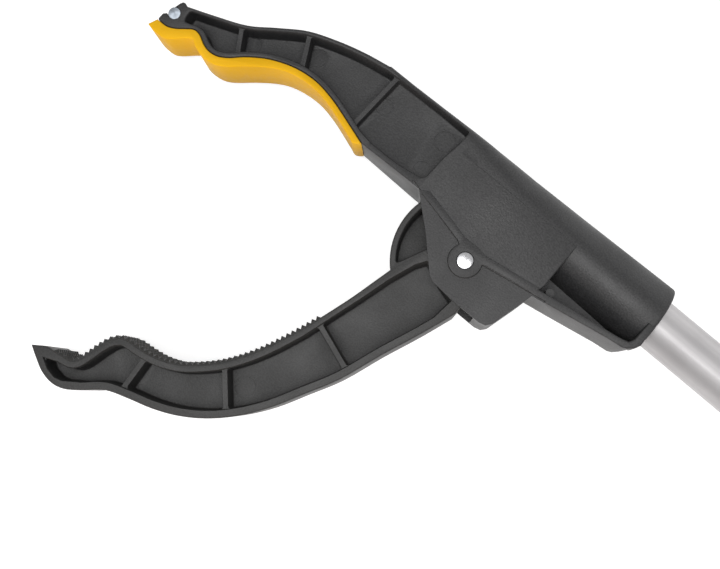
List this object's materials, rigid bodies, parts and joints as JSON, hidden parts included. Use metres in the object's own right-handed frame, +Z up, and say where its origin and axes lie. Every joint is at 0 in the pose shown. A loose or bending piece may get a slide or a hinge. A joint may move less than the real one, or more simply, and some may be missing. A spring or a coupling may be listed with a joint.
{
  "type": "reacher grabber",
  "caption": "Lying reacher grabber with a fixed padded jaw, a toothed hinged jaw, a long metal tube and a trigger handle",
  "frame": {"origin": "on the resting plane below the tube's axis, in line with the jaw's pivot", "axes": "+X along the tube from the jaws to the handle, +Y from the moving jaw's side to the fixed jaw's side, +Z up across the width"},
  "size_m": [0.6552, 0.1555, 0.024],
  "materials": {
    "black_plastic": "fine moulded texture",
    "trigger_plastic": "fine moulded texture",
    "yellow_rubber": "satin",
    "magnet": "nickel plated",
    "steel": "turned",
    "aluminium": "satin drawn",
    "pale_plastic": "natural acetal"
  },
  "bodies": {
    "frame": {"head_housing": "black_plastic", "grip_insert": "yellow_rubber", "tip_magnet": "magnet", "pivot_pin": "steel", "collar_screw": "steel", "tube": "aluminium", "tube_pin": "steel", "rod_guide_front": "pale_plastic", "rod_guide_rear": "pale_plastic", "return_spring": "steel", "handle_shell_left": "black_plastic", "handle_shell_right": "black_plastic", "handle_screw_1": "steel", "handle_screw_2": "steel", "handle_screw_3": "steel", "handle_screw_4": "steel", "trigger_pin": "steel"},
    "rod": {"pull_rod": "steel", "front_clevis": "pale_plastic", "clevis_pin": "steel", "clevis_roll_pin": "steel", "rear_yoke": "pale_plastic", "yoke_pin": "steel", "yoke_roll_pin": "steel", "spring_washer": "steel", "washer_cross_pin": "steel"},
    "jaw": {"moving_jaw": "black_plastic"},
    "trigger": {"trigger": "trigger_plastic"}
  },
  "joints": [
    {"name": "trigger_pull", "type": "hinge", "parent": "frame", "child": "trigger", "pos_m": [0.452, 0.011, 0.012], "axis": [0, 0, 1], "range_deg": [0, 38.55], "stiffness_Nm_per_rad": 0.25, "springref_deg": -17.19},
    {"name": "rod_slide", "type": "slide", "parent": "frame", "child": "rod", "axis": [1, 0, 0], "range_m": [0, 0.01818], "deforming": ["return_spring"]},
    {"name": "jaw_close", "type": "hinge", "parent": "frame", "child": "jaw", "pos_m": [0, -0.0245, 0.012], "axis": [0, 0, -1], "range_deg": [0, 50]}
  ],
  "couplings": [
    {"joint": "rod_slide", "follows": "trigger_pull", "m_per_rad": 0.027},
    {"joint": "jaw_close", "follows": "trigger_pull", "ratio": 1.2967}
  ]
}
